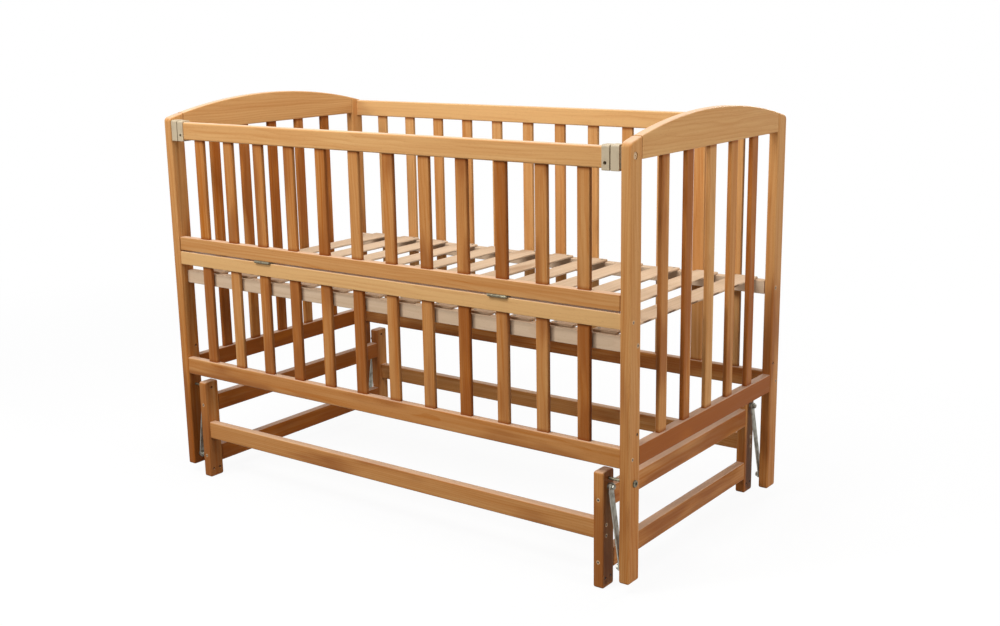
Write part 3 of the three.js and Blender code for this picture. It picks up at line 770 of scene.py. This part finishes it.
def strap(link, side, row):
    low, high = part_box(link)
    near_stand = face_x(link, -side)
    solid = block((near_stand, low.y, low.z), (near_stand + side * LINK_THICKNESS, high.y, high.z))
    bmesh.ops.recalc_face_normals(solid, faces=solid.faces)
    ends = [edge for edge in solid.edges if span(edge, "x") > LINK_THICKNESS / 2]
    soften(solid, ends, LINK_WIDTH * STRAP_ROUND_SHARE, 10)
    upper, lower = UPPER_PIVOT_Z - STRAP_FLAT, LOWER_PIVOT_Z + STRAP_FLAT
    for bend in (upper, lower):
        divide(solid, (0, 0, bend), (0, 0, 1))
    crank = (high.x - low.x - LINK_THICKNESS) * side
    for vert in solid.verts:
        share = min(1.0, max(0.0, (upper - vert.co.z) / (upper - lower)))
        vert.co.x += crank * share
    soften(solid, sharp_edges(solid), STRAP_EDGE, 2)
    y = MIDDLE_Y + row * PIVOT_Y
    reach = (low.x - OVERRUN, high.x + OVERRUN)
    eyes = [rod("x", EYE_RADIUS, *reach, (y, z)) for z in (UPPER_PIVOT_Z, LOWER_PIVOT_Z)]
    return cut_away(solid, eyes)


for end, side in ENDS.items():
    for row_name, row in ROWS.items():
        link = f"link_{row_name}_{end}"
        piece(f"strap_{row_name}_{end}", [strap(link, side, row)], zinc, link, [link])


# %% Bolts
def spun(outline, steps=32):
    """Turns a list of (distance along X, radius) round the X axis into a closed solid."""
    solid = bmesh.new()
    verts = [solid.verts.new((x, 0, radius)) for x, radius in outline]
    edges = [solid.edges.new(pair) for pair in zip(verts, verts[1:])]
    bmesh.ops.spin(
        solid,
        geom=verts + edges,
        cent=(0, 0, 0),
        axis=(1, 0, 0),
        angle=math.tau,
        steps=steps,
        use_merge=True,
    )
    bmesh.ops.remove_doubles(solid, verts=solid.verts, dist=TOUCHING / 10)
    bmesh.ops.recalc_face_normals(solid, faces=solid.faces)
    return solid


def drum(start, end, radius):
    return spun([(start, 0), (start, radius), (end, radius), (end, 0)])


def moved(solid, place, turn=0.0):
    """Turns a solid about its own Z axis and then takes it to its place."""
    step = Matrix.Translation(place) @ Matrix.Rotation(turn, 4, "Z")
    bmesh.ops.transform(solid, matrix=step, verts=solid.verts)
    return solid


def hexagon(radius, start, end):
    solid = rod("x", radius, start, end, (0, 0), sides=6)
    soften(solid, sharp_edges(solid), HEX_RIM, 2)
    return solid


COLLAR, WASHER, SHANK = 0.006, 0.007, 0.003
WASHER_THICKNESS, HEX_RADIUS, HEX_HEIGHT, HEX_RIM = 0.0012, 0.0055, 0.0045, 0.0006
DOME_FOOT, DOME_TOP, DOME_HEIGHT, DOME_PROUD = 0.0026, 0.0020, 0.001, 0.0002
ANCHOR = 0.014
GAP = 0.0003


def pivot_bolt(standoff):
    """Its shank is in the wood on the -X side of the origin, its head on the +X side."""
    washer = standoff + LINK_THICKNESS + GAP
    head = washer + WASHER_THICKNESS
    collar = drum(GAP, standoff - GAP, COLLAR)
    shank = drum(-ANCHOR, head, SHANK)
    ring = drum(washer, head, WASHER)
    nose = head + HEX_HEIGHT
    foot = nose - DOME_HEIGHT
    dome = spun([(foot, 0), (foot, DOME_FOOT), (nose, DOME_TOP), (nose, 0)])
    return [collar, shank, ring, hexagon(HEX_RADIUS, head, nose - DOME_PROUD), dome]


UPPER_STANDOFF, LOWER_STANDOFF = 0.005, 0.006
for end, side in ENDS.items():
    turn = 0.0 if side > 0 else math.pi
    stand_x = face_x(f"stand_front_{end}_upright", side)
    post_x = face_x(f"{end}_front_post", -side)
    for row_name, row in ROWS.items():
        y = MIDDLE_Y + row * PIVOT_Y
        place = (stand_x, y, UPPER_PIVOT_Z)
        upper = [moved(solid, place, turn) for solid in pivot_bolt(UPPER_STANDOFF)]
        node = f"upper_pivot_bolt_{row_name}_{end}"
        piece(f"upper_bolt_{row_name}_{end}", upper, zinc, "stand", [node])
        place = (post_x, y, LOWER_PIVOT_Z)
        lower = [moved(solid, place, math.pi - turn) for solid in pivot_bolt(LOWER_STANDOFF)]
        node = f"lower_pivot_bolt_{row_name}_{end}"
        piece(f"lower_bolt_{row_name}_{end}", lower, zinc, "crib_bed", [node])

# %% [markdown]
# ## Lock bolts
# A lock bolt's head is a shallow cylinder with a socket for a key. The outline that is spun runs
# down into the socket.

# %% Lock bolts
LOCK_HEAD, LOCK_HEAD_HEIGHT = 0.007, 0.0035
SOCKET_RADIUS, SOCKET_DEPTH = 0.003, 0.002
HEAD_ROUND = 0.0008
NOSE_LENGTH, NOSE_STEP = 0.0008, 0.0006
for end, side in ENDS.items():
    node = f"lock_bolt_{end}"
    length = face_x(node, 1) - face_x(node, -1)
    neck = length - LOCK_HEAD_HEIGHT
    floor = length - SOCKET_DEPTH
    outline = [(0, 0), (0, SHANK - NOSE_STEP), (NOSE_LENGTH, SHANK), (neck, SHANK), (neck, LOCK_HEAD)]
    outline += [(length - HEAD_ROUND, LOCK_HEAD), (length, LOCK_HEAD - HEAD_ROUND)]
    outline += [(length, SOCKET_RADIUS), (floor, SOCKET_RADIUS), (floor, 0)]
    place = (face_x(node, -side), MIDDLE_Y - LOCK_Y, LOCK_Z)
    bolt = moved(spun(outline, 40), place, 0.0 if side > 0 else math.pi)
    piece(f"lock_screw_{end}", [bolt], lock_steel, node, [node])

# %% [markdown]
# ## Hinges
# Between the two halves of the front only a hinge's barrel shows; its leaves lie flat between
# the rails. The barrel is three knuckles, one on the upper leaf and two on the lower, round a
# pin whose ends taper a little.

# %% Hinges
HINGE_LENGTH, BARREL, PIN = 0.045, 0.0032, 0.0012
LEAF_THICKNESS, LEAF_DEPTH = 0.0012, 0.016
LEAF_RISE, LEAF_EDGE = 0.0016, 0.0002
KNUCKLE, KNUCKLE_CHAMFER = HINGE_LENGTH / 3, 0.0004
PIN_END, PIN_TAPER = 0.0007, 0.0004


def knuckle(index):
    middle = (index - 1) * KNUCKLE
    start, end = middle - (KNUCKLE - GAP) / 2, middle + (KNUCKLE - GAP) / 2
    rim = BARREL - KNUCKLE_CHAMFER
    outline = [(start, 0), (start, rim), (start + KNUCKLE_CHAMFER, BARREL)]
    outline += [(end - KNUCKLE_CHAMFER, BARREL), (end, rim), (end, 0)]
    return spun(outline, 24)


def leaf(sign):
    front = BARREL + GAP
    low = (-HINGE_LENGTH / 2, BARREL / 2, sign * LEAF_RISE - LEAF_THICKNESS / 2)
    high = (HINGE_LENGTH / 2, front + LEAF_DEPTH, sign * LEAF_RISE + LEAF_THICKNESS / 2)
    solid = block(low, high)
    soften(solid, sharp_edges(solid), LEAF_EDGE, 2)
    return solid


for end, side in ENDS.items():
    low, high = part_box(f"hinge_{end}_pin")
    centre = (low + high) / 2
    upper = [moved(solid, centre) for solid in (leaf(1), knuckle(1))]
    lower = [moved(solid, centre) for solid in (leaf(-1), knuckle(0), knuckle(2))]
    reach = (high.x - low.x) / 2
    taper = reach - PIN_TAPER
    outline = [(-reach, 0), (-reach, PIN_END), (-taper, PIN)]
    outline += [(taper, PIN), (reach, PIN_END), (reach, 0)]
    pin = [moved(spun(outline, 20), centre)]
    name = f"hinge_{end}"
    piece(f"{name}_upper", upper, lock_steel, "drop_side", [f"{name}_upper_leaf"])
    piece(f"{name}_lower", lower, lock_steel, "crib_bed", [f"{name}_lower_leaf"])
    piece(f"{name}_axle", pin, zinc, "crib_bed", [f"{name}_pin"])

# %% [markdown]
# ## Latches
# Each end of the hand rail is closed by a plastic cap with a round window, and a keeper on the
# post faces it across a narrow gap, off the post on a smaller neck. Both are blocks with a round
# top, much like the hand rail's, and a soft moulded edge elsewhere. The window, the pocket for
# the rail, the slot for the pin's tab and the bores for the pin are cut out of them.

# %% Sizes of the latches
MOULDED_EDGE = 0.0012
CAP_ROUND, CAP_WALL = 0.0045, 0.003
KEEPER_NECK, NECK_INSET = 0.0025, 0.004
PIN_RADIUS, PIN_Z, PIN_EDGE = 0.003, 0.822, 0.0004
BORE_RADIUS, KEEPER_BORE = 0.0034, 0.008
WINDOW_RADIUS, WINDOW_X = 0.0034, 0.5675
POCKET_DEPTH, POCKET_ROUND = 0.0038, 0.002
SLOT_INWARD, SLOT_OUTWARD, SLOT_HALF_WIDTH = 0.0019, 0.0079, 0.0024
TAB_HALF_LENGTH, TAB_HALF_WIDTH = 0.0015, 0.002


def inset_block(first_x, last_x, low, high, inset=0.0):
    """A block between two places along X, smaller than a box by an inset along Y and Z."""
    left, right = sorted((first_x, last_x))
    return block((left, low.y + inset, low.z + inset), (right, high.y - inset, high.z - inset))


def moulded(solid, top, cuts):
    upper = [edge for edge in solid.edges if at_end(edge, "z", [top]) and span(edge, "y") < TOUCHING]
    soften(solid, upper, CAP_ROUND, 8)
    soften(solid, sharp_edges(solid), MOULDED_EDGE, 3)
    return cut_away(solid, cuts)


# %% Cap of the hand rail
def rail_cap(node, side, y):
    low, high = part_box(node)
    inner_x = face_x(node, -side)
    window = rod("y", WINDOW_RADIUS, low.y - OVERRUN, y, (side * WINDOW_X, PIN_Z))
    bore = rod("x", BORE_RADIUS, low.x - OVERRUN, high.x + OVERRUN, (y, PIN_Z))
    pocket_x = (inner_x - side * OVERRUN, inner_x + side * POCKET_DEPTH)
    pocket = inset_block(*pocket_x, low, high, CAP_WALL)
    upper = [rim for rim in sharp_edges(pocket) if all(vert.co.z > PIN_Z for vert in rim.verts)]
    soften(pocket, upper, POCKET_ROUND, 3)
    slot_x = sorted((side * (WINDOW_X - SLOT_INWARD), side * (WINDOW_X + SLOT_OUTWARD)))
    slot_y = (y - SLOT_HALF_WIDTH, y + SLOT_HALF_WIDTH)
    slot = block((slot_x[0], slot_y[0], low.z - OVERRUN), (slot_x[1], slot_y[1], PIN_Z))
    return [moulded(block(low, high), high.z, [window, bore, pocket, slot])]


# %% Keeper on the post
def post_keeper(node, side, y):
    low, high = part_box(node)
    inner_x, post_x = face_x(node, -side), face_x(node, side)
    back_x = post_x - side * KEEPER_NECK
    bore_x = (inner_x - side * OVERRUN, inner_x + side * KEEPER_BORE)
    bore = rod("x", BORE_RADIUS, *bore_x, (y, PIN_Z))
    keeper = moulded(inset_block(inner_x, back_x, low, high), high.z, [bore])
    return [keeper, inset_block(back_x - side * KEEPER_NECK, post_x, low, high, NECK_INSET)]


# %% Pin of the latch, with its tab
def latch_bolt(node, side, y):
    low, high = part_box(node)
    tab_x = side * WINDOW_X
    bolt = rod("x", PIN_RADIUS, low.x, high.x, (y, PIN_Z))
    tab = block(
        (tab_x - TAB_HALF_LENGTH, y - TAB_HALF_WIDTH, low.z),
        (tab_x + TAB_HALF_LENGTH, y + TAB_HALF_WIDTH, PIN_Z),
    )
    for solid in (bolt, tab):
        soften(solid, sharp_edges(solid), PIN_EDGE, 2)
    return [bolt, tab]


# %% Both latches
for end, side in ENDS.items():
    cap, keeper, pin = (f"latch_{part}_{end}" for part in ("cap", "keeper", "pin"))
    low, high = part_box(cap)
    y = (low.y + high.y) / 2
    for name, made, node, body, look, slot in (
        ("hand_rail_cap", rail_cap, cap, "drop_side", latch_plastic, "latch_plastic"),
        ("post_keeper", post_keeper, keeper, "crib_bed", latch_plastic, "latch_plastic"),
        ("latch_bolt", latch_bolt, pin, pin, dark_steel, "steel"),
    ):
        piece(f"{name}_{end}", made(node, side, y), look, body, [node])

# %% [markdown]
# ## Screws
# The frame is held by screws whose flat heads lie almost level with the wood, each with a
# six-sided socket. One head is made once, as a spun disc with a hexagon cut out of it, and
# copied to every place. A near-black six-sided plate of its own fills each socket to just below its
# rim: painted shade in the socket.

# %% One screw head
HEAD_DEPTH, HEAD_PROUD = 0.002, 0.0003
RIM_RISE, FACE_SHARE = 0.4, 0.9
SCREW_SOCKET, SCREW_SOCKET_DEPTH = 0.0024, 0.0014
PLATE_DEPTH, PLATE_SHARE, SOCKET_SHOWN = 0.0004, 1.05, 0.0002


def screw_head(radius, socket):
    """The head's face is at +X, its middle on the X axis and the wood's face at 0."""
    rim, face = (HEAD_PROUD * RIM_RISE, radius), (HEAD_PROUD, radius * FACE_SHARE)
    disc = spun([(-HEAD_DEPTH, 0), (-HEAD_DEPTH, radius), rim, face, (HEAD_PROUD, 0)], 28)
    socket_ends = (HEAD_PROUD - SCREW_SOCKET_DEPTH, HEAD_PROUD + OVERRUN)
    return cut_away(disc, [rod("x", socket, *socket_ends, (0, 0), sides=6)])


def socket_shade_plate(socket):
    """A near-black plate in a head's socket, a little wider than the socket and just below its rim:
    painted shade in the socket.
    """
    bottom = HEAD_PROUD - SCREW_SOCKET_DEPTH - PLATE_DEPTH
    return rod("x", socket * PLATE_SHARE, bottom, HEAD_PROUD - SOCKET_SHOWN, (0, 0), sides=6)


def copies(template, places):
    """Copies of a solid whose face looks to +X, turned to each place's direction."""
    carrier = bpy.data.meshes.new("template")
    template.to_mesh(carrier)
    template.free()
    made = []
    for place, direction in places:
        solid = bmesh.new()
        solid.from_mesh(carrier)
        turn = Vector(direction).to_track_quat("X", "Z").to_matrix().to_4x4()
        bmesh.ops.transform(solid, matrix=Matrix.Translation(place) @ turn, verts=solid.verts)
        made.append(solid)
    bpy.data.meshes.remove(carrier)
    return made


# %% Screws of the bed, of its base and of the stand
BASE_BOLT_Z = 0.48695
FIXING_HEIGHTS = {"front": (0.271, 0.5338), "back": (0.271,)}
LEG_SCREW_HEIGHTS = (0.129, 0.107)
HEAD_LIFT = 0.0002
BASE_BOLT_HEAD, BASE_BOLT_SOCKET = 0.005, 0.0026
bed_places, bolt_places, stand_places = [], [], []
for end, side in ENDS.items():
    leg = f"stand_front_{end}_upright"
    post_x, leg_x = face_x(f"{end}_front_post", side), face_x(leg, side)
    leg_middle = (face_x(leg, -1) + face_x(leg, 1)) / 2
    outward = (side, 0, 0)
    for row_name, row in ROWS.items():
        screw_y, bolt_y = MIDDLE_Y + row * SCREW_Y, MIDDLE_Y + row * BASE_BOLT_Y
        face_y = MIDDLE_Y + row * (HALF_WIDTH - STAND_RECESS + HEAD_LIFT)
        bed_places += [((post_x, screw_y, z), outward) for z in FIXING_HEIGHTS[row_name]]
        bolt_places.append(((post_x, bolt_y, BASE_BOLT_Z), outward))
        stand_places += [((leg_middle, face_y, z), (0, row, 0)) for z in STAND_SCREW_HEIGHTS]
        stand_places += [((leg_x, screw_y, z), outward) for z in LEG_SCREW_HEIGHTS]
SCREW, BOLT = (SCREW_HEAD, SCREW_SOCKET), (BASE_BOLT_HEAD, BASE_BOLT_SOCKET)
SETS = (
    ("bed_frame_screws", "bed_screw_sockets", bed_places, "crib_bed", SCREW),
    ("base_bolt_heads", "base_bolt_sockets", bolt_places, "crib_bed", BOLT),
    ("stand_screws", "stand_screw_sockets", stand_places, "stand", SCREW),
)
for name, _, places, body, head in SETS:
    piece(name, copies(screw_head(*head), places), bronzed, body)
# The second pieces are painted shade: near-black plates in the heads' sockets.
for _, name, places, body, head in SETS:
    piece(name, copies(socket_shade_plate(head[1]), places), socket_shade, body)

# %% [markdown]
# ## Painted shade in the holes, and the screws of the base
# The bed base could also hang in the spare holes of the posts. A near-black plug a little way inside
# each is painted shade that darkens the hole, and the holes at the stand's feet have them too. A small
# screw holds each base slat at both ends, to the left in front and to the right behind.

# %% Painted shade in the spare holes
HOLE_SHADE_SUNK, HOLE_SHADE_END = 0.0012, 0.018


# Each plug is painted shade: a near-black rod a little way inside a hole, so that the hole looks dark
# inside.
def insert(outer_x, side, y, z):
    ends = (outer_x - side * HOLE_SHADE_SUNK, outer_x - side * HOLE_SHADE_END)
    return rod("x", HOLE_RADIUS, *ends, (y, z), sides=20)


bed_hole_shades, stand_hole_shades = [], []
for end, side in ENDS.items():
    post_x, leg_x = face_x(f"{end}_front_post", side), face_x(f"stand_front_{end}_upright", side)
    for row in ROWS.values():
        spare_y, foot_y = MIDDLE_Y + row * BASE_BOLT_Y, MIDDLE_Y + row * PIVOT_Y
        bed_hole_shades.append(insert(post_x, side, spare_y, SPARE_HOLE_Z))
        for y in centred(2, FOOT_HOLE_PITCH, foot_y):
            stand_hole_shades.append(insert(leg_x, side, y, FOOT_HOLE_Z))
piece("bed_hole_inserts", bed_hole_shades, socket_shade, "crib_bed")
piece("stand_hole_inserts", stand_hole_shades, socket_shade, "stand")

# %% Screws of the base slats
SLAT_SCREW_HEAD, SLAT_SCREW_SOCKET = 0.003, 0.0015
SLAT_SCREW_X, SLAT_SCREW_INSET = 0.017, 0.010
base_places = []
for node in base_slats:
    low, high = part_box(node)
    middle_x = (low.x + high.x) / 2
    for row, y in ((-1, low.y + SLAT_SCREW_INSET), (1, high.y - SLAT_SCREW_INSET)):
        base_places.append(((middle_x + row * SLAT_SCREW_X, y, high.z), (0, 0, 1)))
slat_screws = copies(screw_head(SLAT_SCREW_HEAD, SLAT_SCREW_SOCKET), base_places)
piece("base_slat_screws", slat_screws, dark_steel, "crib_bed")

# %% [markdown]
# ## Bolt caps of the keepers
# The bolt that holds each keeper ends in a recess of the post's outer face, under a cap in the
# colour of the wood with a small hole in its middle.

# %% Keeper bolt caps
CAP_SUNK = 0.0022
cap_places = []
for end, side in ENDS.items():
    x = face_x(f"{end}_front_post", side) - side * CAP_SUNK
    cap_places.append(((x, MIDDLE_Y - RECESS_Y, RECESS_Z), (side, 0, 0)))
cap_outline = [(-0.001, 0), (-0.001, 0.0066), (0.0008, 0.0066), (0.0014, 0.0058)]
cap_outline += [(0.0014, 0.0016), (0, 0.0012), (0, 0)]
caps = copies(spun(cap_outline), cap_places)
piece("keeper_bolt_caps", caps, cap_plastic, "crib_bed")

# %% [markdown]
# ## Camera
# The camera stands where the photograph was taken, solved from the crib's own edges: 46.7 mm on
# a 36 mm sensor, 0.2 m above the arches, and rolled by less than a degree.

# %% Camera
CAMERA_PLACE = Vector((1.7819, -2.2979, 1.09175))
AZIMUTH, TILT, ROLL = map(math.radians, (36.34, 13.19, 0.93))
SENSOR, FOCAL_SHARE = 36.0, 1.2975

bpy.context.scene.view_settings.view_transform = "Standard"
camera_data = bpy.data.cameras.new("camera")
camera_data.sensor_width = SENSOR
camera_data.lens = SENSOR * FOCAL_SHARE
camera = placed("camera", camera_data)
turn = Matrix.Rotation(AZIMUTH, 4, "Z") @ Matrix.Rotation(math.pi / 2 - TILT, 4, "X")
camera.matrix_world = Matrix.Translation(CAMERA_PLACE) @ turn @ Matrix.Rotation(-ROLL, 4, "Z")
bpy.context.scene.camera = camera
print("lens", round(camera_data.lens, 2))

# %% [markdown]
# ## Floor and light
# The photograph is a studio cut-out on white. A large floor keeps a weak shadow under the crib:
# rays that come straight from the camera, or by way of glossy or clear surfaces, see it mostly
# as white, and wholly so further away, and they see the sky as white too. The floor's own grey
# only says how much light it throws back up. Five panels light the crib: a broad one above, one
# high in front, and one each at the front left, at the right and behind, with a low even glow
# from the world.

# %% Floor
WHITE_SHARE = 0.72
NEAR_STRENGTH = 1.28
FADE_START, FADE_END = 1.3, 3.2
WHITE, FLOOR_GREY = (1, 1, 1, 1), (0.22, 0.22, 0.22, 1)
FLOOR_REACH = 30.0


def seen_as_white(shader):
    """1 for rays from the camera and for those that glossy or clear surfaces send on."""
    paths = shader.node("LightPath").socket.node.outputs
    kinds = [Value(shader, paths[f"Is {kind} Ray"]) for kind in ("Camera", "Glossy", "Transmission")]
    return kinds[0].larger(kinds[1]).larger(kinds[2])


floor_shader = Shader("studio_floor")
seen = seen_as_white(floor_shader)
floor_place = object_place(floor_shader)
distance = floor_shader.node("VectorMath", {"operation": "LENGTH"}, {0: floor_place}, "Value")
far_away = distance.rise(FADE_START, FADE_END)
matt = Value(floor_shader, floor_shader.surface.outputs["BSDF"])
near_white = floor_shader.node("Emission", inputs={"Color": WHITE, "Strength": NEAR_STRENGTH})
far_white = floor_shader.node("Emission", inputs={"Color": WHITE, "Strength": 1.0})
near = floor_shader.node("MixShader", inputs={0: seen * WHITE_SHARE, 1: matt, 2: near_white})
mixed = floor_shader.node("MixShader", inputs={0: seen * far_away, 1: near, 2: far_white})
floor_output = floor_shader.tree.nodes["Material Output"]
floor_shader.feed(floor_output.inputs["Surface"], mixed)
floor_shader.finish(Base_Color=FLOOR_GREY, Roughness=0.9)

floor_mesh = bmesh.new()
bmesh.ops.create_grid(floor_mesh, x_segments=1, y_segments=1, size=FLOOR_REACH)
floor = as_object(floor_mesh, "studio_floor")
floor.data.materials.append(floor_shader.material)

# %% World
GLOW = 0.09
world = bpy.data.worlds.new("studio")
bpy.context.scene.world = world
sky = Shader("studio", world)
sky.feed(sky.surface.inputs["Color"], WHITE)
sky.feed(sky.surface.inputs["Strength"], seen_as_white(sky) * (1 - GLOW) + GLOW)

# %% Lamps
AIM = Vector((0, 0, 0.45))


def panel(name, place, size, watts):
    data = bpy.data.lights.new(name, "AREA")
    data.shape = "RECTANGLE"
    data.size, data.size_y = size
    data.energy = watts
    lamp = placed(name, data)
    lamp.location = place
    lamp.rotation_euler = (AIM - Vector(place)).to_track_quat("-Z", "Y").to_euler()
    print("lamp", name, watts, "W")


panel("overhead_panel", (0.0, -0.1, 2.5), (2.4, 1.6), 30)
panel("high_front_panel", (-0.1, -1.9, 2.6), (1.4, 0.8), 48)
panel("front_panel", (-1.7, -3.3, 2.1), (0.8, 0.8), 54)
panel("right_panel", (4.0, -0.40, 1.3), (0.7, 1.0), 72)
panel("rear_panel", (0.6, 3.4, 2.0), (1.4, 1.0), 48)
